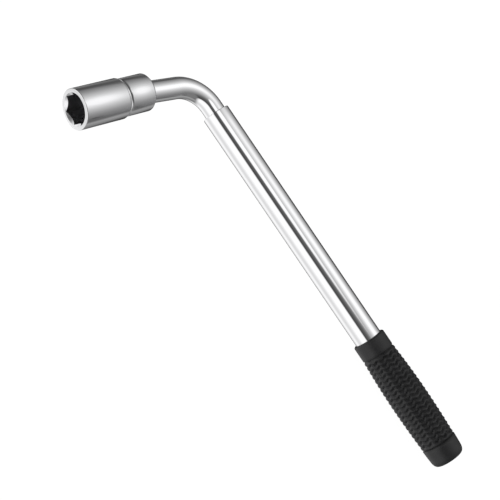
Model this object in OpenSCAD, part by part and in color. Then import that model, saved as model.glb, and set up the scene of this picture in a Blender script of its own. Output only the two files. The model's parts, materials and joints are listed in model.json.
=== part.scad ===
// Extending lug wrench: an L-bent bar that telescopes in a tube handle, with a
// pull-off two-ended socket on its square drive. Millimetres, +Z up.
// Origin: centre of the nut socket's front face. +X runs along the handle to the
// grip; the socket opens towards -Y, turned a little to -X.

/* [Bar] */
// Diameter of the bent bar
bar_d = 17; // [16:0.5:17]
// Angle between the handle and the leg of the bar
leg_angle = 104.8; // [100:0.1:110]
// Angle between the handle and the socket's axis
drive_angle = 100.4; // [98:0.1:104]
// Centre-line radius of the main bend
bend_r = 26.7; // [24:0.1:30]
// Centre-line radius of the slight bend behind the drive
kick_r = 60; // [40:1:80]
// Leg length from the crossing of the axes to the slight bend
leg_len = 56.9; // [52:0.1:62]
// Across the flats of the square drive
drive_af = 12.7; // [12.6:0.05:12.75]
// Length of the square drive
drive_len = 15.6; // [14:0.1:16]
// Diameter of the turned neck that carries the guide sleeve
neck_d = 14; // [12:0.5:14]
// Diameter of the threaded stub at the bar's tail
stub_d = 10; // [8:0.5:11]

/* [Nut socket] */
// Across the flats of the front hexagon
front_af = 21; // [19:1:21]
// Across the flats of the rear hexagon
rear_af = 19; // [18:1:19]
// Turn of both hexagons about the socket's axis
hex_roll = 10.8; // [0:0.1:60]
// Outer diameter of the front section
front_od = 30.6; // [29:0.1:32]
// Outer diameter of the rear section
rear_od = 28.6; // [28:0.1:29]
// Length of the front section, from the mouth to the neck groove
front_len = 41.1; // [38:0.1:46]
// Length of the rear section, behind the neck groove
rear_len = 22.4; // [16:0.1:24]
// Width of the neck groove at its rim
groove_w = 1.5; // [1:0.1:2]
// Depth of the front hexagon
front_depth = 33; // [30:0.5:34]
// Depth of the rear hexagon
rear_depth = 15; // [12:0.5:16]

/* [Handle tube] */
// Outer diameter of the tube
tube_od = 22; // [21:0.5:23]
// Wall thickness of the tube
tube_wall = 1.5; // [1.4:0.1:1.6]
// Tube mouth, measured from the crossing of the axes
mouth_x = 26.5; // [24:0.5:30]
// Length of the bush pressed into the mouth
bush_len = 18; // [15:0.5:20]
// Travel of the handle from closed to fully extended
travel = 175; // [150:5:180]

/* [Bar tail] */
// Length of the guide sleeve
sleeve_len = 24; // [20:0.5:26]
// Thickness of the thrust washer
washer_t = 1.5; // [1:0.1:2]
// Length of the tail head
head_len = 18; // [17:0.5:20]
// Diameter of the tail head
head_d = 18.4; // [18:0.1:18.6]
// Diameter of the cross pin through the tail head
pin_d = 3; // [2.5:0.5:3]

/* [Catches] */
// Diameter of the ball in the tail head
lock_ball_d = 6; // [5.5:0.5:6]
// Travel of the tail head's ball into a catch groove
lock_travel = 0.9; // [0.8:0.05:0.9]
// Diameter of the ball in the square drive
drive_ball_d = 5; // [4.5:0.5:5]
// Travel of the drive's ball into the socket's dimple
drive_travel = 0.75; // [0.6:0.05:0.8]
// Spring wire diameter
wire_d = 0.6; // [0.4:0.1:0.7]

/* [Grip] */
// Grip mouth, measured from the crossing of the axes
grip_x = 235.5; // [230:0.5:240]
// Length of the grip over its closed end
grip_len = 112; // [110:0.5:120]
// Diameter at the collar
collar_d = 26.6; // [26:0.1:27]
// Largest diameter of the barrel
barrel_d = 30.6; // [29:0.1:32]
// Diameter at the back end of the barrel
back_d = 27.4; // [26.5:0.1:28]
// Length of the plain collar
collar_len = 13.9; // [12:0.1:16]
// Number of ribs
ribs = 21; // [15:1:25]
// Pitch of the ribs
rib_pitch = 3.9; // [3.5:0.05:4]
// Depth between the ribs
rib_depth = 0.9; // [0.5:0.05:1]
// Thickness of the closed end
end_wall = 4.5; // [3:0.5:6]

/* [Hidden] */
$fn = 96;

// running clearance on a radius, and the small gap where two pieces meet face to face
run_gap = 0.05;
face_gap = 0.2;
// over-length of a cutting tool past the face it starts from
past = 1;
// the bends are this much thinner, and the straights run into them by bend_lap
bend_ease = 0.1;
bend_lap = 1;

// directions of the leg and of the drive, from the crossing of the axes outwards
leg_dir = [cos(leg_angle), -sin(leg_angle)];
drive_dir = [cos(drive_angle), -sin(drive_angle)];
leg_left = [-leg_dir.y, leg_dir.x];
kick = leg_angle - drive_angle;
kick_tangent = kick_r * tan(kick / 2);
turn = 180 - leg_angle;
bend_tangent = bend_r * tan(turn / 2);

// the slight bend sits this far behind the mouth; then the crossing of the axes
socket_len = front_len + groove_w + rear_len;
kick_depth = socket_len - 9.3;
kick_point = -kick_depth * drive_dir;
corner = kick_point - leg_len * leg_dir;

// socket: its square web runs between the two hexagons
web_back = socket_len - rear_depth;
square_af = drive_af + 0.2;
neck_r = 13.2;
hex_lead = 1.9;
dimple_depth = web_back - 8.1;
shoulder = web_back + face_gap;
drive_tip = shoulder - drive_len;

// handle, measured along its axis from the crossing of the axes
tube_r = tube_od / 2;
bore_r = tube_r - tube_wall;
plug_flange = 1.5;
tube_end = grip_x + grip_len - end_wall - plug_flange;
bush_back = mouth_x + bush_len;
neck_x = bush_back + travel;
head_x = neck_x + sleeve_len + washer_t;
head_end = head_x + head_len;
stub_len = 8;
pin_x = head_x + 4.5;
lock_x = head_x + 12.5;
catch_r = bore_r + 0.75;
catch_w = 4.4;

// balls at rest: clear of the bore or the web by this much
ball_clear = 0.1;
lock_ball_z = bore_r - ball_clear - 0.1 - lock_ball_d / 2;
drive_ball_z = drive_af / 2 - drive_ball_d / 2;
lock_hole_floor = -3;
drive_hole_floor = -2.5;

// grip outline: the barrel swells between the collar and the back end
swell_x = 293 - 235.5;
barrel_end = 105.5;
rib_steps = 6;
function swell(s) = s < swell_x
    ? barrel_d - (barrel_d - collar_d) * pow((swell_x - s) / (swell_x - collar_len + 4.5), 2)
    : barrel_d - (barrel_d - back_d) * pow((s - swell_x) / (barrel_end - swell_x), 2);
function rib_r(s) = swell(s) / 2
    - rib_depth * (1 - abs(sin(180 * (s - collar_len) / rib_pitch)));

// places a child built along +Z on the socket's axis, z = 0 at the mouth, +Z out of it
module on_drive() { rotate([90, 0, 90 - drive_angle]) children(); }
// places a child built along +Z on the handle's axis, z = 0 at the crossing of the axes
module on_handle() { translate([corner.x, corner.y, 0]) rotate([0, 90, 0]) children(); }

// cylinder from z = a to z = b
module rod(a, b, r) { translate([0, 0, a]) cylinder(h = b - a, r = r); }
// cylinder from z = a to z = b with both rims chamfered by c
module eased_rod(a, b, r, c) {
    rotate_extrude() polygon([[0, a], [r - c, a], [r, a + c], [r, b - c], [r - c, b], [0, b]]);
}
// hexagonal bar of size af from z = a to z = b
module hex_bar(a, b, af) {
    rotate([0, 0, hex_roll]) translate([0, 0, a]) cylinder(h = b - a, r = af / 2 / cos(30), $fn = 6);
}

// round bar bent through an angle about Z, from the +X side anticlockwise
module bend(r, angle) {
    rotate_extrude(angle = angle) translate([r, 0]) circle(r = bar_d / 2 - bend_ease);
}

// swept helix from z = 0 to z = h along +Z
module coil(r, h, turns) {
    steps = 16;
    sides = 8;
    n = round(turns * steps);
    climb = h - wire_d;
    points = [for (i = [0:n]) for (j = [0:sides - 1])
        let (a = 360 * i / steps, b = 360 * j / sides, q = r + wire_d / 2 * cos(b))
        [q * cos(a), q * sin(a), wire_d / 2 + climb * i / n + wire_d / 2 * sin(b)]];
    walls = [for (i = [0:n - 1]) for (j = [0:sides - 1])
        let (k = (j + 1) % sides)
        [i * sides + j, (i + 1) * sides + j, (i + 1) * sides + k, i * sides + k]];
    caps = [[for (j = [0:sides - 1]) j], [for (j = [sides - 1:-1:0]) n * sides + j]];
    polyhedron(points, concat(walls, caps));
}

// bent steel bar: square drive, slight bend, leg, main bend, straight, neck and stub
module drive_bar() {
    kick_centre = kick_point - kick_tangent * leg_dir + kick_r * leg_left;
    color("silver") difference() {
        union() {
            on_drive() intersection() {
                eased_rod(-shoulder - past, -drive_tip, bar_d / 2 - 0.2, 1);
                translate([-drive_af / 2, -drive_af / 2, -shoulder - past])
                    cube([drive_af, drive_af, drive_len + past]);
            }
            on_drive() rod(kick_tangent - kick_depth - bend_lap, -shoulder, bar_d / 2);
            translate([kick_centre.x, kick_centre.y, 0]) rotate([0, 0, 90 + turn])
                bend(kick_r, kick);
            translate([corner.x, corner.y, 0]) rotate([90, 0, 90 - leg_angle])
                rod(bend_tangent - bend_lap, leg_len - kick_tangent + bend_lap, bar_d / 2);
            translate([corner.x + bend_tangent, corner.y - bend_r, 0]) rotate([0, 0, 90])
                bend(bend_r, turn);
            on_handle() {
                rod(bend_tangent - bend_lap, neck_x, bar_d / 2);
                rod(neck_x - past, head_x, neck_d / 2);
                rod(head_x - past, head_x + stub_len, stub_d / 2);
            }
        }
        // blind hole for the drive's ball and spring
        on_drive() translate([0, 0, -dimple_depth]) rotate([-90, 0, 0])
            rod(drive_hole_floor, drive_af, drive_ball_d / 2 + run_gap);
        // cross hole for the head's pin
        translate([corner.x + pin_x, corner.y, 0]) rotate([90, 0, 0])
            rod(-bar_d, bar_d, pin_d / 2);
    }
}

// two-ended socket with a square web between its hexagons
module nut_socket() {
    rim = 1;
    back_rim = 2;
    r1 = front_od / 2;
    r2 = rear_od / 2;
    far = -socket_len;
    color("gainsboro") on_drive() difference() {
        rotate_extrude() polygon([
            [0, 0], [r1 - rim, 0], [r1, -rim],
            [r1, -front_len + r1 - neck_r], [neck_r, -front_len],
            [neck_r, -front_len - groove_w + r2 - neck_r], [r2, -front_len - groove_w],
            [r2, far + back_rim], [r2 - back_rim, far], [0, far]]);
        hex_bar(-front_depth, past, front_af);
        hex_bar(far - past, -web_back, rear_af);
        // conical lead-ins
        translate([0, 0, -hex_lead])
            cylinder(h = hex_lead, r1 = front_af / 2, r2 = front_af / 2 + hex_lead);
        translate([0, 0, far])
            cylinder(h = hex_lead, r1 = rear_af / 2 + hex_lead, r2 = rear_af / 2);
        // square hole and the dimple for the drive's ball
        translate([-square_af / 2, -square_af / 2, -web_back - past])
            cube([square_af, square_af, web_back - front_depth + 2 * past]);
        translate([0, 0, -dimple_depth]) rotate([-90, 0, 0])
            rod(0, drive_af / 2 + drive_travel + face_gap, drive_ball_d / 2);
    }
}

// ball that holds the socket on the drive
module drive_ball() {
    color("lightsteelblue") on_drive() translate([0, drive_ball_z, -dimple_depth])
        sphere(d = drive_ball_d);
}

// spring under the drive's ball
module drive_spring() {
    color("dimgray") on_drive() translate([0, drive_hole_floor, -dimple_depth])
        rotate([-90, 0, 0])
        coil(drive_ball_d / 2 - wire_d, drive_ball_z - drive_ball_d / 2 - drive_hole_floor, 3);
}

// steel tube of the handle, with a catch groove in its bore for each end of the travel
module outer_tube() {
    rim = 0.4;
    color("silver") on_handle() difference() {
        eased_rod(mouth_x, tube_end, tube_r, rim);
        rod(mouth_x - past, tube_end + past, bore_r);
        for (x = [lock_x, lock_x - travel]) rod(x - catch_w / 2, x + catch_w / 2, catch_r);
    }
}

// bush pressed into the tube's mouth; the bar runs in it
module mouth_bush() {
    color("gray") on_handle() difference() {
        eased_rod(mouth_x, bush_back, bore_r, 0.3);
        rod(mouth_x - past, bush_back + past, bar_d / 2 + run_gap);
    }
}

// sleeve that turns on the bar's neck and slides in the tube
module guide_sleeve() {
    color("goldenrod") on_handle() difference() {
        eased_rod(neck_x + run_gap, neck_x + sleeve_len - run_gap, bore_r - run_gap, 0.5);
        rod(neck_x - past, neck_x + sleeve_len + past, neck_d / 2 + run_gap);
    }
}

// thrust washer between the sleeve and the head
module sleeve_washer() {
    color("lightgray") on_handle() difference() {
        rod(head_x - washer_t, head_x, head_d / 2);
        rod(head_x - washer_t - past, head_x + past, neck_d / 2);
    }
}

// head screwed on the bar's tail; it keeps the sleeve on and carries the lock ball
module tail_head() {
    color("slategray") difference() {
        on_handle() difference() {
            eased_rod(head_x, head_end, head_d / 2, 0.8);
            rod(head_x - past, head_x + stub_len, stub_d / 2);
        }
        translate([corner.x + lock_x, corner.y, 0])
            rod(lock_hole_floor, bar_d, lock_ball_d / 2 + run_gap);
        translate([corner.x + pin_x, corner.y, 0]) rotate([90, 0, 0])
            rod(-bar_d, bar_d, pin_d / 2);
    }
}

// cross pin that stops the head unscrewing
module head_pin() {
    half = head_d / 2 - 0.3;
    color("dimgray") translate([corner.x + pin_x, corner.y, 0]) rotate([90, 0, 0])
        eased_rod(-half, half, pin_d / 2, 0.3);
}

// ball that catches in the tube's grooves
module lock_ball() {
    color("lightsteelblue") translate([corner.x + lock_x, corner.y, lock_ball_z])
        sphere(d = lock_ball_d);
}

// spring under the lock ball
module lock_spring() {
    color("dimgray") translate([corner.x + lock_x, corner.y, lock_hole_floor])
        coil(lock_ball_d / 2 - wire_d, lock_ball_z - lock_ball_d / 2 - lock_hole_floor, 4.5);
}

// plug that closes the tube under the grip's end
module tube_plug() {
    shank = 12;
    wall = 2;
    color("darkslategray") on_handle() difference() {
        union() {
            rod(tube_end - shank, tube_end, bore_r);
            rod(tube_end, tube_end + plug_flange, tube_r);
        }
        rod(tube_end - shank - past, tube_end - wall, bore_r - wall);
    }
}

// moulded rubber grip with a plain collar, ribs and a rounded closed end
module hand_grip() {
    lip = 1.5;
    end_r = 3;
    end_flat = swell(barrel_end) / 2 - end_r;
    rib_end = collar_len + ribs * rib_pitch;
    collar = [for (a = [0:30:90])
        [collar_d / 2 - lip * (1 - sin(a)), lip * (1 - cos(a))]];
    barrel = [for (i = [0:ribs * rib_steps])
        let (s = collar_len + i * rib_pitch / rib_steps) [rib_r(s), s]];
    tail = [for (i = [0:4])
        let (s = rib_end + 0.8 + i * (barrel_end - rib_end - 0.8) / 4) [swell(s) / 2, s]];
    dome = [for (a = [15:15:90])
        [end_flat + end_r * cos(a), barrel_end + (grip_len - 0.5 - barrel_end) * sin(a)]];
    color([0.12, 0.12, 0.13]) on_handle() translate([0, 0, grip_x]) difference() {
        rotate_extrude() polygon(concat([[0, 0]], collar,
            [[collar_d / 2 + 0.1, collar_len - 0.8]], barrel, tail, dome, [[0, grip_len]]));
        rod(-past, grip_len - end_wall, tube_r);
    }
}

drive_bar();
nut_socket();
drive_ball();
drive_spring();
outer_tube();
mouth_bush();
guide_sleeve();
sleeve_washer();
tail_head();
head_pin();
lock_ball();
lock_spring();
tube_plug();
hand_grip();
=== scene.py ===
# %% [markdown]
# # An extending lug wrench
# The wrench is a bent chrome bar that slides in a chrome tube with a rubber grip. A
# two-ended socket sits on the bar's square end. The frame brings the CAD pieces, in
# metres. Here the four pieces that show are modelled again with smooth bends and eased
# edges, and every other piece keeps its CAD shape and gets a proper finish.

# %% Load the frame
import json
import math

import bpy
from mathutils import Matrix, Vector


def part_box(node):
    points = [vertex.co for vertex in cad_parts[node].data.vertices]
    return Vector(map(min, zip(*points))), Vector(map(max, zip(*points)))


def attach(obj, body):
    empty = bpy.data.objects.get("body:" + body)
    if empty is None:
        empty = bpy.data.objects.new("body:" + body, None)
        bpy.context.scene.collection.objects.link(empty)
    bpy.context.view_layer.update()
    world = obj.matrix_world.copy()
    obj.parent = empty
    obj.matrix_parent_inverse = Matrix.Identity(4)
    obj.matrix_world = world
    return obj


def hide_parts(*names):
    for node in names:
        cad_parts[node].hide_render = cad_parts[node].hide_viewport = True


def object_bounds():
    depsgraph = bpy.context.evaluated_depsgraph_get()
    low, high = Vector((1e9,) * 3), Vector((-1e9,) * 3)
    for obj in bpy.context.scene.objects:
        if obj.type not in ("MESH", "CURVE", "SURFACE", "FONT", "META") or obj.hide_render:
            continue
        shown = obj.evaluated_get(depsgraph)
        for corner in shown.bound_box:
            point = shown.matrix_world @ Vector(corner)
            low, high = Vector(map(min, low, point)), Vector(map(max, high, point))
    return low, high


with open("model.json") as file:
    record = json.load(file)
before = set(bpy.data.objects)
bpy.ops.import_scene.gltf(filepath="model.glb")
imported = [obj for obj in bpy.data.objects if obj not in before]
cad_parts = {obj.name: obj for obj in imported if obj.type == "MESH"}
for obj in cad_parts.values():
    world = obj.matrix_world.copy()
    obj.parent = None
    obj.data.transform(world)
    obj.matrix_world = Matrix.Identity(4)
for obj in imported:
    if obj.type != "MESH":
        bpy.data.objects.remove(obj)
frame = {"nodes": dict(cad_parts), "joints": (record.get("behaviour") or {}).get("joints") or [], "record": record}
cad_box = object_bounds()
nodes = frame["nodes"]
mounts = {m["name"]: Vector(m["pos_m"]) for m in frame["record"]["mounts"]}
joints = {j["name"]: j for j in frame["joints"]}
print("nodes:", ", ".join(sorted(nodes)))

# %% [markdown]
# ## Sizes
# Places come from the frame: the tube's box gives the handle's axis, and the pull of the
# socket gives the direction of the drive. Only the shapes that a box can't tell, such as
# the radius of a bend, are written here, and they are the design's own values. The origin
# is the middle of the socket's front mouth, and places along the drive are told from it.

# %% Sizes taken from the frame
MM = 0.001
tube_low, tube_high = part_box("outer_tube")
grip_low, grip_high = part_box("hand_grip")
bar_low, bar_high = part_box("drive_bar")
socket_low, socket_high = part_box("nut_socket")
axis_y = (tube_low.y + tube_high.y) / 2
tube_r = (tube_high.y - tube_low.y) / 2
bar_r = (bar_high.z - bar_low.z) / 2
grip_r = (grip_high.z - grip_low.z) / 2
socket_r = (socket_high.z - socket_low.z) / 2
drive_dir = Vector(joints["socket_pull"]["axis"]).normalized()
socket_len = mounts["rear_socket"].length
drive_tip = mounts["drive_square"].length
print(f"bar {2 * bar_r / MM:.1f}, tube {2 * tube_r / MM:.1f}, grip {2 * grip_r / MM:.1f} mm")

# %% Sizes of the design that boxes can't tell
LEG_ANGLE = math.radians(104.8)  # between the handle and the leg
BEND_R = 26.7 * MM  # main bend, measured to the bar's axis
KICK_R = 60 * MM  # slight second bend, hidden in the socket
KICK_INSIDE = 9.3 * MM  # from the socket's rear end in to that bend
LEG_LEN = 56.9 * MM  # between the corners of the two bends
DRIVE_AF = 12.7 * MM  # across the flats of the square drive
REAR_DEPTH = 15 * MM  # of the socket's rear hexagon
FRONT_DEPTH = 33 * MM  # of its front hexagon
HEX_ROLL = math.radians(10.8)  # how far the hexagons are turned against the square
SHOULDER_GAP = 0.2 * MM  # left between the rod's shoulder and the socket's web
drive_angle = math.acos(drive_dir.x)
leg_dir = Vector((math.cos(LEG_ANGLE), -math.sin(LEG_ANGLE), 0))
kick = LEG_ANGLE - drive_angle
turn = math.pi - LEG_ANGLE
kick_depth = socket_len - KICK_INSIDE
kick_point = -kick_depth * drive_dir
corner = kick_point - LEG_LEN * leg_dir
shoulder = socket_len - REAR_DEPTH + SHOULDER_GAP
print(f"axes cross at x {corner.x / MM:.1f}, y {corner.y / MM:.1f} mm")

# %% [markdown]
# ## Camera and room
# The camera stands above and in front of the wrench and is rolled, so that the handle
# runs down to the right. It is made first because every look afterwards depends on it.

# %% Camera
CAMERA_PLACE = Vector((148.4, -518.5, 693.6)) * MM
CAMERA_AIM = Vector((152.6, 61.5, 0)) * MM
CAMERA_ROLL = math.radians(56.2)
FILM_WIDTH = 36  # millimetres, as the lens is
LENS = 87.6
NEAREST = 10 * MM
camera_data = bpy.data.cameras.new("camera")
camera_data.sensor_width = FILM_WIDTH
camera_data.lens = LENS
camera_data.clip_start = NEAREST
camera = bpy.data.objects.new("camera", camera_data)
bpy.context.scene.collection.objects.link(camera)
look = (CAMERA_AIM - CAMERA_PLACE).to_track_quat("-Z", "Y")
camera.matrix_world = (Matrix.Translation(CAMERA_PLACE) @ look.to_matrix().to_4x4()
                       @ Matrix.Rotation(CAMERA_ROLL, 4, "Z"))
bpy.context.scene.camera = camera
bpy.context.scene.view_settings.view_transform = "Standard"
print("camera to aim:", round((CAMERA_AIM - CAMERA_PLACE).length, 3), "m")

# %% [markdown]
# ## Shader sums in Python
# A material is a web of nodes, and laying each one by hand is slow to write and hard to
# read. `Wire` holds one output and turns Python's + - * into Math nodes, and `Desk.node`
# adds any other node with its settings and inputs.

# %% Wire and Desk
class Wire:
    """A node's output that Python can add, subtract and multiply."""

    def __init__(self, desk, socket):
        self.desk = desk
        self.socket = socket

    def maths(self, operation, *others, swap=False):
        terms = (*others, self) if swap else (self, *others)
        return self.desk.node("Math", {"operation": operation}, dict(enumerate(terms)))

    def __add__(self, other):
        return self.maths("ADD", other)

    def __sub__(self, other):
        return self.maths("SUBTRACT", other)

    def __rsub__(self, other):
        return self.maths("SUBTRACT", other, swap=True)

    def __mul__(self, other):
        return self.maths("MULTIPLY", other)

    def __neg__(self):
        return 0 - self

    __radd__ = __add__
    __rmul__ = __mul__

    def step(self, start, end):
        """0 before start, 1 after end, smooth between."""
        return self.desk.node("MapRange", {"interpolation_type": "SMOOTHSTEP"},
                              {"Value": self, "From Min": start, "From Max": end})


class Desk:
    """A node tree and the one method that adds nodes to it."""

    def __init__(self, tree):
        self.tree = tree
        tree.nodes.clear()

    def node(self, kind, settings=None, inputs=None, out=0):
        """Adds a node: its settings first, then its inputs as values or links."""
        made = self.tree.nodes.new("ShaderNode" + kind)
        for key, value in (settings or {}).items():
            if key == "stops":
                ramp = made.color_ramp
                while len(ramp.elements) < len(value):
                    ramp.elements.new(0.5)
                for element, (place, grey) in zip(ramp.elements, value):
                    element.position = place
                    element.color = (grey, grey, grey, 1)
            else:
                setattr(made, key, value)
        for key, value in (inputs or {}).items():
            if isinstance(value, Wire):
                self.tree.links.new(value.socket, made.inputs[key])
            else:
                made.inputs[key].default_value = value
        return Wire(self, made.outputs[out]) if made.outputs else made


# %% [markdown]
# ## Light
# Chrome has no colour of its own: it shows the room, so the room is made with as much care
# as the wrench. It is a light tent, written as the world and not built from lamps, because
# each bright part can then be placed and softened by itself. It has a large soft box
# overhead and behind, a white sheet low in front, a dark gap between them where the tent
# is open, and a table below. Each part reads how near a direction is to a middle of its own.

# %% Ways to look
world = bpy.data.worlds.new("tent")
bpy.context.scene.world = world
world.use_nodes = True
tent = Desk(world.node_tree)
ray = tent.node("TexCoord")


def towards(direction):
    """How near the ray points to a direction: 1 along it, 0 square to it, -1 away from it."""
    unit = Vector(direction).normalized()
    return tent.node("VectorMath", {"operation": "DOT_PRODUCT"}, {0: ray, 1: unit}, out="Value")


def level(wire, *stops):
    """A brightness that follows (place, brightness) stops, with straight runs between."""
    return tent.node("ValToRGB", {"stops": stops}, {0: wire})


side = towards((1, 0, 0))
depth = towards((0, 1, 0))
rise = towards((0, 0, 1))
print("nodes so far:", len(tent.tree.nodes))

# %% [markdown]
# ### Soft box and top panel
# The box is brightest at its middle and falls off slowly, which gives the tube its long
# soft bands. It is weaker towards the front and low on the left. A smaller, sharper panel
# almost straight above adds a crisp white band.

# %% Soft box and top panel
BOX_MIDDLE = (0.17, 0.5, 0.85)
BOX_STOPS = ((0.0, 0.10), (0.20, 0.14), (0.34, 0.19), (0.45, 0.235), (0.55, 0.29),
             (0.65, 0.36), (0.72, 0.43), (0.80, 0.53), (0.86, 0.62), (0.90, 0.72),
             (0.94, 0.83), (0.97, 1.02), (0.99, 1.12))
FRONT_LOSS = 0.42
LEFT_LOSS = 0.40
PANEL_MIDDLE = (-0.16, -0.26, 0.95)
PANEL_LIGHT = 1.12
box_light = level(towards(BOX_MIDDLE), *BOX_STOPS)
box_light = box_light * (1 - FRONT_LOSS * (-depth).step(0.25, 0.65))
low = 1 - rise.step(0.12, 0.24)
box_light = box_light * (1 - LEFT_LOSS * (-side).step(0.30, 0.60) * low)
panel = PANEL_LIGHT * towards(PANEL_MIDDLE).step(0.944, 0.984)
print("box from", BOX_STOPS[0][1], "to", BOX_STOPS[-1][1])

# %% [markdown]
# ### Sheet, table and wing
# The sheet hangs in front and to the left, below the gap, and stops before the right and
# the back. The table lies under the wrench and shows in the underside of every round
# piece: dark at the horizon, a grey ring further down, and bright straight below. The wing
# is a faint grey card on the right, so that what faces it isn't black.

# %% Sheet, table and wing
GAP_MIDDLE = (0.12, 0.70, 0.70)
SHEET_WAY = (-0.77, -0.64, 0)
SHEET_STOPS = ((0.15, 1.12), (0.33, 0.97), (0.50, 0.81), (0.68, 0.78), (0.83, 0.96),
               (0.95, 1.12), (1.0, 0.85))
TABLE_STOPS = ((0.0, 0.0), (0.20, 0.12), (0.30, 0.15), (0.38, 0.26), (0.46, 0.38),
               (0.62, 0.29), (0.78, 0.21), (0.86, 0.28), (0.95, 0.72), (1.0, 0.85))
WING_MIDDLE = (0.96, -0.27, 0.05)
WING_LIGHT = 0.20
below_gap = (-towards(GAP_MIDDLE)).step(0.16, 0.36)
sheet = below_gap * towards(SHEET_WAY).step(-0.33, 0.12)
sheet = sheet * (1 - depth.step(0.05, 0.40))
sheet = sheet * level(-rise, *SHEET_STOPS)
table = level(-rise, *TABLE_STOPS)
wing = WING_LIGHT * towards(WING_MIDDLE).step(0.75, 0.95)
print("sheet", SHEET_STOPS[0][1], "and table", TABLE_STOPS[-1][1], "at their brightest ends")

# %% [markdown]
# ### Dark edges and the whole tent
# Two soft dark patches low at the back draw a thin dark edge along the far side of the
# tube. Then the brightest part wins in each direction. The camera doesn't see the tent,
# only plain white paper.

# %% Whole tent
# each patch: its middle, how much it takes away, and where its step starts and ends
DARK_PATCHES = (((-0.12, 0.66, -0.74), 0.75, 0.75, 0.97),
                ((0.1, 0.93, -0.37), 0.62, 0.88, 0.98))
PAPER = 1.0
shades = [1 - loss * towards(middle).step(start, end)
          for middle, loss, start, end in DARK_PATCHES]
upper = box_light.maths("MAXIMUM", panel).maths("MAXIMUM", wing)
glow = upper.maths("MAXIMUM", sheet).maths("MAXIMUM", table) * (shades[0] * shades[1])
seen = tent.node("LightPath", out="Is Camera Ray")
strength = glow * (1 - seen) + PAPER * seen
backdrop = tent.node("Background", {}, {"Color": (1, 1, 1, 1), "Strength": strength})
tent.node("OutputWorld", {}, {"Surface": backdrop})
print("world nodes:", len(tent.tree.nodes))

# %% [markdown]
# ## Floor
# A pale disc lies just under the wrench. It glows, as a light table does, so the wrench's
# shadow on it stays faint. The chrome doesn't mirror it, because the tent already holds
# the table that the chrome is to show.

# %% Floor
FLOOR_R = 3000 * MM
FLOOR_GLOW = 1.14
GLOW_SHARE = 0.86
bpy.ops.object.select_all(action="DESELECT")
bpy.ops.mesh.primitive_circle_add(vertices=96, radius=FLOOR_R, fill_type="NGON",
                                  location=(corner.x, corner.y, cad_box[0].z))
floor = bpy.context.object
floor.name = "floor"
floor.visible_glossy = False
floor_paint = bpy.data.materials.new("pale_paper")
floor_paint.use_nodes = True
paper = Desk(floor_paint.node_tree)
matt = paper.node("BsdfDiffuse", {}, {"Color": (0.8, 0.8, 0.8, 1)})
lit = paper.node("Emission", {}, {"Color": (1, 1, 1, 1), "Strength": FLOOR_GLOW})
both = paper.node("MixShader", {}, {0: GLOW_SHARE, 1: matt, 2: lit})
paper.node("OutputMaterial", {}, {"Surface": both})
floor.data.materials.append(floor_paint)
print("floor at z", round(cad_box[0].z / MM, 1), "mm")

# %% [markdown]
# ## Finishes
# Each finish is one Principled shader. What changes over the surface, such as roughness
# or the height of a fine grain, comes from noise on Object coordinates, whose scale is
# in waves per metre.

# %% Finish helpers
def finish_named(name, base, metallic, slot_name=None):
    """A new material; returns it, its desk and its Principled node."""
    made = bpy.data.materials.new(name)
    made.use_nodes = True
    desk = Desk(made.node_tree)
    body = desk.tree.nodes.new("ShaderNodeBsdfPrincipled")
    body.inputs["Base Color"].default_value = (*base, 1)
    body.inputs["Metallic"].default_value = metallic
    desk.node("OutputMaterial", {}, {"Surface": Wire(desk, body.outputs[0])})
    made.diffuse_color = (*base, 1)
    made["slot"] = slot_name or name
    return made, desk, body


def feed(desk, body, key, value):
    desk.tree.links.new(value.socket, body.inputs[key])


def place_on(desk, turn_by=(0, 0, 0), stretch=(1, 1, 1), origin=(0, 0, 0)):
    """Object coordinates moved to an origin, turned and stretched."""
    coords = desk.node("TexCoord", {}, {}, out="Object")
    return desk.node("Mapping", {"vector_type": "TEXTURE"}, {
        "Vector": coords, "Location": origin, "Rotation": turn_by,
        "Scale": tuple(1 / s for s in stretch)})


def noise(desk, where, scale, detail=2.0):
    return desk.node("TexNoise", {}, {"Vector": where, "Scale": scale, "Detail": detail})


def bump(desk, body, height, distance):
    """Lets a height raise the surface by up to a distance."""
    raised = desk.node("Bump", {}, {"Height": height, "Distance": distance})
    feed(desk, body, "Normal", raised)


# %% [markdown]
# ### Chrome
# Bright plating over polished steel: almost a mirror, with a faint orange peel, hairline
# scratches along the part and a little dulling. The socket is satin: its blank was
# turned, so fine rings run round it under the plating. Both come from a noise whose
# coordinates are stretched, across the part for hairlines and along it for rings.

# %% Chrome finishes
BRIGHT = (0.90, 0.90, 0.91)
SATIN = (0.86, 0.86, 0.87)
HAIR_STRETCH = (90, 90, 1.0)
RING_STRETCH = (2, 2, 1400)
PEEL_HEIGHT = 0.004 * MM
RING_HEIGHT = 0.006 * MM


def bright_chrome(name, along, origin):
    made, desk, body = finish_named(name, BRIGHT, 1.0)
    where = place_on(desk, along, origin=origin)
    hairs = noise(desk, place_on(desk, along, HAIR_STRETCH, origin), scale=60, detail=3)
    clouds = noise(desk, where, scale=45)
    feed(desk, body, "Roughness", 0.045 + 0.05 * clouds.step(0.45, 0.75)
         + 0.05 * hairs.step(0.62, 0.80))
    bump(desk, body, noise(desk, where, scale=700, detail=1), PEEL_HEIGHT)
    return made


def satin_chrome(name, along):
    made, desk, body = finish_named(name, SATIN, 1.0)
    rings = noise(desk, place_on(desk, along, RING_STRETCH), scale=1)
    clouds = noise(desk, place_on(desk), scale=60)
    feed(desk, body, "Roughness", 0.11 + 0.05 * clouds + 0.06 * rings)
    bump(desk, body, rings, RING_HEIGHT)
    return made


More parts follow.
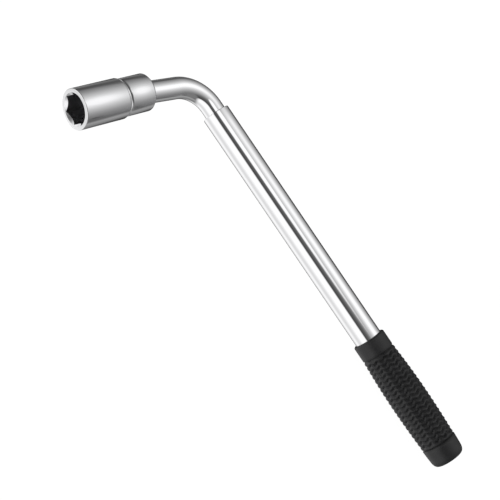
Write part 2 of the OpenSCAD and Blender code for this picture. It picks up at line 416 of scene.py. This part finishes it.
ALONG_HANDLE = (0, math.radians(90), 0)
ALONG_DRIVE = (math.radians(90), 0, math.pi / 2 - drive_angle)
tube_chrome = bright_chrome("tube_chrome", ALONG_HANDLE, corner)
bar_chrome = bright_chrome("bar_chrome", ALONG_HANDLE, corner)
socket_chrome = satin_chrome("socket_chrome", ALONG_DRIVE)
print("chrome:", tube_chrome.name, bar_chrome.name, socket_chrome.name)

# %% [markdown]
# ### Bore, painted shade
# Deep in the socket the hexagons take a darker, duller grey steel: painted shade for the
# deep bore. The marks of the broach run along them. The bore shares the socket's slot.

# %% Painted shade in the socket's bore
# darker grey steel for the deep bore: painted shade
BORE_SHADE_GREY = (0.52, 0.52, 0.53)
BROACH_STRETCH = (1, 1, 0.2)
BROACH_HEIGHT = 0.03 * MM


# the bore's finish: its darker grey is painted shade, and the broach marks are real roughness and bumps
def shaded_bore_finish():
    made, desk, body = finish_named("socket_bore_shade", BORE_SHADE_GREY, 1.0, slot_name="socket_chrome")
    marks = noise(desk, place_on(desk, ALONG_DRIVE, BROACH_STRETCH), scale=900, detail=3)
    feed(desk, body, "Roughness", 0.2 + 0.2 * marks)
    bump(desk, body, marks, BROACH_HEIGHT)
    return made


socket_bore_shade = shaded_bore_finish()
print("bore:", socket_bore_shade.name)

# %% [markdown]
# ### Rubber
# The grip is matt moulded rubber: nearly black, with a very fine grain and a slightly
# greyer bloom in places. The Mix node blends two whole colours, which a Math node can't.

# %% Rubber
RUBBER = (0.02, 0.02, 0.021)
DEEP_BLACK = (0.011, 0.011, 0.012, 1)
BLOOM_GREY = (0.021, 0.021, 0.022, 1)
GRAIN_HEIGHT = 0.03 * MM
COLOUR_A, COLOUR_B, COLOUR_OUT = 6, 7, 2  # places of the colours among Mix's sockets


def rubber_finish():
    made, desk, body = finish_named("grip_rubber", RUBBER, 0.0)
    where = place_on(desk, origin=corner)
    bloom = noise(desk, where, scale=70, detail=3)
    grain = noise(desk, where, scale=3500)
    grey = desk.node("Mix", {"data_type": "RGBA"}, {
        0: bloom.step(0.4, 0.75), COLOUR_A: DEEP_BLACK, COLOUR_B: BLOOM_GREY}, COLOUR_OUT)
    feed(desk, body, "Base Color", grey)
    feed(desk, body, "Roughness", 0.42 + 0.12 * bloom)
    bump(desk, body, grain, GRAIN_HEIGHT)
    return made


grip_rubber = rubber_finish()
print("finishes:", len(bpy.data.materials))

# %% [markdown]
# ## Modelling helpers
# A round piece is turned: one vertex is drawn along half an outline and spun about Z.
# That is how a lathe makes it, and it leaves even rings of faces. It is built upright at
# the origin and then laid in its place, and its place is applied to the mesh. Everything
# is deselected first, since an operator acts on what is selected.

# %% Start clean, close and settle
DOUBLES = 0.002 * MM
THIN = 0.001 * MM


def start_clean(piece=None):
    """Leaves edit mode and deselects all, then picks one piece to work on, if one is given."""
    if bpy.context.mode != "OBJECT":
        bpy.ops.object.mode_set(mode="OBJECT")
    bpy.ops.object.select_all(action="DESELECT")
    if piece:
        piece.select_set(True)
        bpy.context.view_layer.objects.active = piece


def close_skin():
    """Merges doubled points, drops empty faces and turns every face outwards."""
    bpy.ops.mesh.select_all(action="SELECT")
    bpy.ops.mesh.remove_doubles(threshold=DOUBLES)
    bpy.ops.mesh.dissolve_degenerate(threshold=THIN)
    bpy.ops.mesh.normals_make_consistent(inside=False)
    bpy.ops.object.mode_set(mode="OBJECT")


def apply_place():
    bpy.ops.object.transform_apply(location=True, rotation=True, scale=True)


def settle(piece, turn_by=(0, 0, 0), place=(0, 0, 0)):
    """Lays a piece in its place and applies it, so its object stays at the origin."""
    start_clean(piece)
    apply_place()
    piece.rotation_euler = turn_by
    piece.location = place
    apply_place()


# %% Turn on the lathe
def outline_mesh(name, outline):
    """A chain of edges in the XZ plane through (radius, height) points in millimetres."""
    start_clean()
    bpy.ops.mesh.primitive_plane_add(size=MM, location=(0, 0, 0))
    piece = bpy.context.object
    piece.name = name
    piece.data.name = name
    bpy.ops.object.mode_set(mode="EDIT")
    bpy.ops.mesh.select_mode(type="VERT")
    bpy.ops.mesh.select_all(action="SELECT")
    bpy.ops.mesh.merge(type="CENTER")
    r, h = outline[0]
    bpy.ops.transform.translate(value=(r * MM, 0, h * MM))
    for (r0, h0), (r1, h1) in zip(outline, outline[1:]):
        bpy.ops.mesh.extrude_vertices_move(
            TRANSFORM_OT_translate={"value": ((r1 - r0) * MM, 0, (h1 - h0) * MM)})
    return piece


def turned(name, outline, steps=128):
    """The outline spun about Z into a closed skin. It ends on the axis or where it began."""
    piece = outline_mesh(name, outline)
    bpy.ops.mesh.select_all(action="SELECT")
    bpy.ops.mesh.spin(steps=steps, angle=math.tau, center=(0, 0, 0), axis=(0, 0, 1))
    close_skin()
    return piece


# %% Cut, smooth and hand over
def cut(piece, tool, operation="DIFFERENCE"):
    """A boolean with another piece, which is then thrown away."""
    start_clean(piece)
    made = piece.modifiers.new("boolean", "BOOLEAN")
    made.operation = operation
    made.object = tool
    made.solver = "EXACT"
    bpy.ops.object.modifier_apply(modifier=made.name)
    bpy.data.objects.remove(tool)


def smooth(piece, degrees=30):
    start_clean(piece)
    bpy.ops.object.shade_smooth_by_angle(angle=math.radians(degrees))


def hand_over(piece, node, paint):
    """Paints a piece, rides it on its node's body and lets it stand for the node."""
    if not piece.data.materials:
        piece.data.materials.append(paint)
    body = next(b for b, members in frame["record"]["behaviour"]["bodies"].items()
                if node in members)
    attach(piece, body)
    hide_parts(node)
    loose = sum(1 for e in piece.data.edges if e.is_loose)
    print(f"{piece.name}: {len(piece.data.polygons)} faces, {loose} loose edges")


# %% [markdown]
# ## Tube
# The real tube is drawn, cut off and plated. Here it is one closed outline spun round:
# outer wall, rounded mouth edge, bore with the two catch grooves for the lock ball, and a
# back end with a small bevel. The grooves lie as far apart as the handle travels.

# %% Tube sizes in millimetres
WALL = 1.5
CATCH_DEEP = 0.75
CATCH_HALF = 2.2
MOUTH_R = 0.45
BORE_EASE = 0.2
BACK_BEVEL = 0.3
BACK_BEVEL_LEN = 0.4
FIRST_RING = 12  # a plain ring of points this far back
TRAVEL = joints["handle_slide"]["range_m"][1] / MM
lock_low, lock_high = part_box("lock_ball")
LOCK_X = (lock_low.x + lock_high.x) / 2 / MM
r_out = tube_r / MM
r_in = r_out - WALL
x0 = tube_low.x / MM
x1 = tube_high.x / MM
print(f"tube wall {WALL}, catch grooves at x {LOCK_X:.1f} and {LOCK_X - TRAVEL:.1f} mm")


# %% Tube
def arc(cx, cy, r, start, end, steps):
    """Points (x, y) on an arc, angles in degrees."""
    return [(cx + r * math.cos(math.radians(start + (end - start) * i / steps)),
             cy + r * math.sin(math.radians(start + (end - start) * i / steps)))
            for i in range(steps + 1)]


def catch(at):
    """The groove in the bore, from back to front."""
    deep = r_in + CATCH_DEEP
    return [(r_in, at + CATCH_HALF), (deep, at + CATCH_HALF), (deep, at - CATCH_HALF),
            (r_in, at - CATCH_HALF)]


tube_outline = (arc(r_out - MOUTH_R, x0 + MOUTH_R, MOUTH_R, -90, 0, 5)
                + [(r_out, x0 + FIRST_RING), (r_out, x1 - BACK_BEVEL_LEN)]
                + [(r_out - BACK_BEVEL, x1), (r_in, x1)]
                + catch(LOCK_X) + catch(LOCK_X - TRAVEL)
                + [(r_in, x0 + BORE_EASE), (r_in + BORE_EASE, x0)])
tube = turned("handle_tube", tube_outline + tube_outline[:1])
settle(tube, ALONG_HANDLE, (0, axis_y, 0))
smooth(tube)
hand_over(tube, "outer_tube", tube_chrome)

# %% [markdown]
# ## Bar
# A real bar is bent cold from one straight rod, so it is made the same way: a ring of
# points is drawn out for each straight and spun about the centre of each bend. The
# square drive is milled from the rod's end, so it is a block with its long corners
# taken off, joined to the rod.

# %% Sizes of the rod and places of its bends
RING = 96
KICK_STEPS = 4
BEND_STEPS = 40
SHOULDER_EASE = 0.6 * MM
NECK_R = 7 * MM
NECK_GAP = 0.05 * MM
STUB_R = 5 * MM  # the stub sits in the tail head
STUB_LEN = 8 * MM
neck_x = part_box("guide_sleeve")[0].x - NECK_GAP
head_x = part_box("tail_head")[0].x
leg_left = Vector((-leg_dir.y, leg_dir.x, 0))
kick_tangent = KICK_R * math.tan(kick / 2)
kick_centre = kick_point - kick_tangent * leg_dir + KICK_R * leg_left
bend_tangent = BEND_R * math.tan(turn / 2)
bend_centre = corner + Vector((bend_tangent, -BEND_R, 0))
print(f"bends of {math.degrees(kick):.1f} and {math.degrees(turn):.1f} degrees")


# %% Rod with its two bends
def draw_out(step):
    bpy.ops.mesh.extrude_region_move(TRANSFORM_OT_translate={"value": tuple(step)})


def resize_ring(now, then):
    bpy.ops.transform.resize(value=(then / now,) * 3)


def step_in(now, then):
    """Steps the selected end ring in from one radius to another."""
    draw_out((0, 0, 0))
    resize_ring(now, then)


start_clean()
eased_r = bar_r - SHOULDER_EASE
bpy.ops.mesh.primitive_circle_add(vertices=RING, radius=eased_r,
                                  location=-shoulder * drive_dir, rotation=ALONG_DRIVE)
bar = bpy.context.object
bar.name = "bent_bar"
apply_place()
bpy.ops.object.mode_set(mode="EDIT")
bpy.ops.mesh.select_all(action="SELECT")
draw_out(-SHOULDER_EASE * drive_dir)
resize_ring(eased_r, bar_r)
draw_out(-(kick_depth - kick_tangent - shoulder - SHOULDER_EASE) * drive_dir)
bpy.ops.mesh.spin(steps=KICK_STEPS, angle=kick, center=kick_centre, axis=(0, 0, 1))
draw_out(-(LEG_LEN - kick_tangent - bend_tangent) * leg_dir)
bpy.ops.mesh.spin(steps=BEND_STEPS, angle=turn, center=bend_centre, axis=(0, 0, 1))
draw_out(((neck_x - corner.x) - bend_tangent, 0, 0))
step_in(bar_r, NECK_R)
draw_out((head_x - neck_x, 0, 0))
step_in(NECK_R, STUB_R)
draw_out((STUB_LEN, 0, 0))
bpy.ops.mesh.select_non_manifold()
bpy.ops.mesh.fill_holes(sides=0)
close_skin()
end = max(v.co.x for v in bar.data.vertices)
print(f"bar ends at x {end / MM:.2f} mm; wanted {(head_x + STUB_LEN) / MM:.2f}")

# %% [markdown]
# ### Square drive
# The block is drawn from a small square face that swells to full width over its eased
# tip, and it runs a little into the rod so that the join is sound. A round hole from the
# top takes the sprung ball.

# %% Square drive with the ball's hole
ball_low, ball_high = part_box("drive_ball")
ball_middle = (ball_low + ball_high) / 2
BALL_HOLE_R = 2.55 * MM
HOLE_FLOOR = -2.5 * MM
HOLE_TOP = DRIVE_AF  # well clear of the block
CORNER_R = 1.1 * MM
TIP_EASE = 0.9 * MM
SUNK = 1 * MM  # how far the block runs into the rod
drive_len = shoulder - drive_tip
tip_share = 1 - 2 * TIP_EASE / DRIVE_AF
start_clean()
bpy.ops.mesh.primitive_plane_add(size=DRIVE_AF, location=(0, 0, -drive_tip))
drive = bpy.context.object
bpy.ops.object.mode_set(mode="EDIT")
bpy.ops.mesh.bevel(offset=CORNER_R, segments=3, affect="VERTICES")
bpy.ops.mesh.select_all(action="SELECT")
bpy.ops.transform.resize(value=(tip_share, tip_share, 1))
draw_out((0, 0, -TIP_EASE))
bpy.ops.transform.resize(value=(1 / tip_share, 1 / tip_share, 1))
draw_out((0, 0, -(drive_len + SUNK - TIP_EASE)))
close_skin()
settle(drive, ALONG_DRIVE)
cut(bar, drive, "UNION")
bpy.ops.mesh.primitive_cylinder_add(
    vertices=48, radius=BALL_HOLE_R, depth=HOLE_TOP - HOLE_FLOOR,
    location=(ball_middle.x, ball_middle.y, (HOLE_TOP + HOLE_FLOOR) / 2))
cut(bar, bpy.context.object)
smooth(bar)
hand_over(bar, "drive_bar", bar_chrome)

# %% [markdown]
# ## Socket
# The blank is turned, with a neck groove between its two ends, and its rims are eased.
# Then it is broached: a hexagon from each end, a conical lead-in at each mouth, a square
# through the web between them, and a dimple for the drive's ball. Cutters taken away by
# booleans leave the same sharp, flat facets as the real broach.

# %% Socket blank, sizes in millimetres
REAR_R = 14.3
NECK_GROOVE_R = 13.2
GROOVE = 1.5
FRONT_LEN = 41.1
LIP_R = 0.9
CHAMFER = 2.1
REAR_CHAMFER = 2.0
REAR_FACE_R = REAR_R - 2.2
RIM_RUN = 0.35
SOFT = 0.15  # eases the corner where a chamfer begins
SOFT_RUN = 0.5
STEP_EASE = 0.1
r_front = socket_r / MM
far = socket_len / MM
rear_top = -FRONT_LEN - GROOVE
blank_outline = ([(0, 0)] + arc(r_front - LIP_R, -LIP_R, LIP_R, 90, 0, 4)
                 + [(r_front, -FRONT_LEN + CHAMFER + SOFT_RUN)]
                 + [(r_front - SOFT, -FRONT_LEN + CHAMFER), (NECK_GROOVE_R, -FRONT_LEN)]
                 + [(NECK_GROOVE_R, rear_top + REAR_R - NECK_GROOVE_R)]
                 + [(REAR_R - STEP_EASE, rear_top + STEP_EASE), (REAR_R, rear_top - SOFT)]
                 + [(REAR_R, -far + REAR_CHAMFER + SOFT_RUN)]
                 + [(REAR_R - SOFT, -far + REAR_CHAMFER)]
                 + [(REAR_FACE_R + RIM_RUN, -far + SOFT), (REAR_FACE_R, -far), (0, -far)])
socket = turned("nut_socket_shell", blank_outline, steps=144)
print(f"socket {2 * r_front:.1f} across, {far:.1f} mm long")

# %% Cutters
def prism(low, high, radius, sides=96, top_radius=None, roll=0.0):
    """A straight or conical cutter along Z, from low to high, sizes in millimetres."""
    start_clean()
    bpy.ops.mesh.primitive_cone_add(
        vertices=sides, radius1=radius * MM,
        radius2=(radius if top_radius is None else top_radius) * MM,
        depth=(high - low) * MM, location=(0, 0, (low + high) / 2 * MM), rotation=(0, 0, roll))
    return bpy.context.object


def hexagon(low, high, across):
    """A six-sided cutter of a width across flats. Its first corner starts out at +Y."""
    return prism(low, high, across / 2 / math.cos(math.pi / 6), sides=6,
                 roll=HEX_ROLL - math.pi / 2)


# %% Broach both ends
HEX_LEAD = 1.9
DIMPLE_R = 2.5
DIMPLE_DEEP = 0.95
FRONT_AF = 21
REAR_AF = 19
PAST_HEX = 2  # a cutter starts this far outside the face that it enters
PAST_CONE = 1
WEB_MIDDLE = -41 * MM
SQUARE = DRIVE_AF + 0.2 * MM
web_back = far - REAR_DEPTH / MM
lead = HEX_LEAD + PAST_CONE
cut(socket, hexagon(-FRONT_DEPTH / MM, PAST_HEX, FRONT_AF))
cut(socket, hexagon(-far - PAST_HEX, -web_back, REAR_AF))
cut(socket, prism(-HEX_LEAD, PAST_CONE, FRONT_AF / 2, 144, FRONT_AF / 2 + lead))
cut(socket, prism(-far - PAST_CONE, -far + HEX_LEAD, REAR_AF / 2 + lead, 144, REAR_AF / 2))
start_clean()
bpy.ops.mesh.primitive_cube_add(size=SQUARE, location=(0, 0, WEB_MIDDLE))
bpy.context.object.scale.z = 2  # long enough to pass right through the web
cut(socket, bpy.context.object)
dimple = prism(0, SQUARE / 2 / MM + DIMPLE_DEEP, DIMPLE_R, 48)
settle(dimple, (-math.pi / 2, 0, 0), (0, 0, -ball_middle.length))
cut(socket, dimple)
print("faces after broaching:", len(socket.data.polygons))

# %% [markdown]
# ### Plated outside, painted shade in the bore
# Faces near the axis and deeper than the mouths take the bore's darker finish, which is
# painted shade; all others are plated. The mesh still stands upright here, so radius and
# depth are simply read off.

# %% Paint the socket
# the bore's painted shade begins this far in from each mouth
SHADE_FROM_MOUTH = 2.2
BORE_EDGE = 12.3
socket.data.materials.append(socket_chrome)
socket.data.materials.append(socket_bore_shade)
for face in socket.data.polygons:
    inside = face.center.xy.length < BORE_EDGE * MM
    # faces deep in the bore take the darker finish: painted shade
    in_painted_shade = -far + SHADE_FROM_MOUTH < face.center.z / MM < -SHADE_FROM_MOUTH
    face.material_index = 1 if inside and in_painted_shade else 0
settle(socket, ALONG_DRIVE)
smooth(socket)
hand_over(socket, "nut_socket", socket_chrome)

# %% [markdown]
# ## Grip
# The grip is moulded rubber with a closed end. Its outline is spun first: a rounded
# mouth, a plain collar, a swelling barrel and a domed end. The barrel gets ten rings of
# points for each rib, so that the ribs can be pressed in afterwards.

# %% Grip sizes in millimetres
RIBS = 21
RIB_PITCH = 3.9
RIB_ROWS = 10
GRIP_STEPS = 216
COLLAR_LEN = 13.9
COLLAR_R = 13.3
COLLAR_RINGS = (5, 8, 11, 13)
BACK_R = 13.7
SWELL_AT = 57.5  # where the barrel is thickest
SWELL_RUN_IN = 4.5
BARREL_END = 105.5
TAIL_RINGS = (0.8, 3, 6)
END_WALL = 4.5
LIP = 1.5
END_R = 3.0
CROWN = ((1, 0.5), (0.66, 0.22), (0.33, 0.06), (0, 0))  # share of the flat, drop
top_r = grip_r / MM
grip_len = (grip_high.x - grip_low.x) / MM
rib_end = COLLAR_LEN + RIBS * RIB_PITCH
print(f"grip {grip_len:.1f} mm long, ribbed from {COLLAR_LEN} to {rib_end:.1f}")


# %% Grip skin
def swell(s):
    """Radius of the barrel at a distance s from the grip's mouth."""
    if s < SWELL_AT:
        run = SWELL_AT - COLLAR_LEN + SWELL_RUN_IN
        return top_r - (top_r - COLLAR_R) * ((SWELL_AT - s) / run) ** 2
    return top_r - (top_r - BACK_R) * ((s - SWELL_AT) / (BARREL_END - SWELL_AT)) ** 2


mouth = [(COLLAR_R - LIP * (1 - math.sin(a)), LIP * (1 - math.cos(a)))
         for a in (math.radians(d) for d in range(0, 91, 10))]
collar = [(COLLAR_R, s) for s in COLLAR_RINGS]
ribbed = [(swell(s), s) for s in (COLLAR_LEN + i * RIB_PITCH / RIB_ROWS
                                  for i in range(RIBS * RIB_ROWS + 1))]
tail = [(swell(s), s) for s in [rib_end + past for past in TAIL_RINGS] + [BARREL_END]]
flat = swell(BARREL_END) - END_R
dome_len = grip_len - CROWN[0][1] - BARREL_END
dome = [(flat + END_R * math.cos(a), BARREL_END + dome_len * math.sin(a))
        for a in (math.radians(d) for d in range(10, 91, 10))]
crown = [(flat * share, grip_len - drop) for share, drop in CROWN[1:]]
bore = [(0, grip_len - END_WALL), (r_out, grip_len - END_WALL), (r_out, 0)]
grip = turned("rubber_grip", bore + mouth + collar + ribbed + tail + dome + crown,
              steps=GRIP_STEPS)
print("grip points:", len(grip.data.vertices))

# %% [markdown]
# ### Ribs
# The ribs run round the grip in waves and are crossed by shallow flutes, which breaks each
# of them into a row of slanted bumps. Every ring of points is pushed along the handle by
# a sine, with a little of its double so that one side of a wave is steeper, and in
# towards the axis between two ribs and along each flute. The first and last rib fade into
# plain rings. No operator makes such a wave, so the points are moved in code.

# %% Ribs
RIB_DEEP = 1.1
RIB_SHARP = 1.3  # a higher power narrows the crests
WAVES = 12
WAVE = 0.75
WAVE_SKEW = 0.12
WAVE_TURN = math.radians(7.2)
FLUTE = 0.28
CREST_TURN = math.radians(23.5)
BORE_CLEAR = 0.5  # points this near the bore's wall stay where they are
END_CLEAR = 0.01
for vertex in grip.data.vertices:
    r = vertex.co.xy.length / MM
    s = vertex.co.z / MM
    on_ribs = COLLAR_LEN - END_CLEAR < s < rib_end + END_CLEAR
    if r < r_out + BORE_CLEAR or not on_ribs:
        continue
    phi = math.atan2(vertex.co.y, vertex.co.x)
    u = (s - COLLAR_LEN) / RIB_PITCH
    fade = min(1.0, u, RIBS - u)
    turn_on = WAVES * (phi - WAVE_TURN)
    shift = WAVE * fade * (math.sin(turn_on) + WAVE_SKEW * math.sin(2 * turn_on))
    ridge = abs(math.sin(math.pi * u)) ** RIB_SHARP
    flute = FLUTE * fade * (1 - math.cos(WAVES * (phi - CREST_TURN)))
    radius = swell(s + shift) - RIB_DEEP * (1 - ridge) - flute
    vertex.co.x = radius * MM * math.cos(phi)
    vertex.co.y = radius * MM * math.sin(phi)
    vertex.co.z = (s + shift) * MM
settle(grip, ALONG_HANDLE, (grip_low.x, axis_y, 0))
smooth(grip, 60)
hand_over(grip, "hand_grip", grip_rubber)

# %% [markdown]
# ## Inner pieces
# The pieces that live inside keep their CAD shape. Each gets the finish of its making:
# turned steel and brass with rings round their axis, ground balls and pins, drawn wire,
# and moulded plastic.

# %% Finishes of the inner pieces
LATHE_STRETCH = (3, 3, 2200)
LATHE_HEIGHT = 0.01 * MM
SPECK_HEIGHT = 0.004 * MM


def turned_metal(name, base, rough):
    made, desk, body = finish_named(name, base, 1.0)
    rings = noise(desk, place_on(desk, ALONG_HANDLE, LATHE_STRETCH), scale=1)
    feed(desk, body, "Roughness", rough + 0.14 * rings)
    bump(desk, body, rings, LATHE_HEIGHT)
    return made


def ground_metal(name, base, rough):
    made, desk, body = finish_named(name, base, 1.0)
    specks = noise(desk, place_on(desk), scale=2500)
    feed(desk, body, "Roughness", rough + 0.1 * specks)
    bump(desk, body, specks, SPECK_HEIGHT)
    return made


def moulded_plastic(name, base):
    made, desk, body = finish_named(name, base, 0.0)
    grain = noise(desk, place_on(desk), scale=1800)
    feed(desk, body, "Roughness", 0.4 + 0.2 * grain)
    bump(desk, body, grain, GRAIN_HEIGHT)
    return made


# %% Paint the inner pieces
ball_finish = ground_metal("ball_steel", (0.66, 0.67, 0.70), rough=0.06)
wire_finish = ground_metal("spring_steel", (0.42, 0.42, 0.44), rough=0.25)
inner_finishes = {
    "drive_ball": ball_finish,
    "lock_ball": ball_finish,
    "drive_spring": wire_finish,
    "lock_spring": wire_finish,
    "mouth_bush": turned_metal("bush_steel", (0.55, 0.55, 0.56), rough=0.22),
    "guide_sleeve": turned_metal("sleeve_brass", (0.78, 0.60, 0.30), rough=0.2),
    "sleeve_washer": ground_metal("washer_steel", (0.60, 0.60, 0.62), rough=0.28),
    "tail_head": turned_metal("head_steel", (0.50, 0.51, 0.53), rough=0.22),
    "head_pin": ground_metal("pin_steel", (0.38, 0.38, 0.40), rough=0.2),
    "tube_plug": moulded_plastic("plug_plastic", (0.05, 0.05, 0.055)),
}
for name, paint in inner_finishes.items():
    piece = nodes[name]
    piece.data.materials.clear()
    piece.data.materials.append(paint)
print("inner pieces painted:", len(inner_finishes))
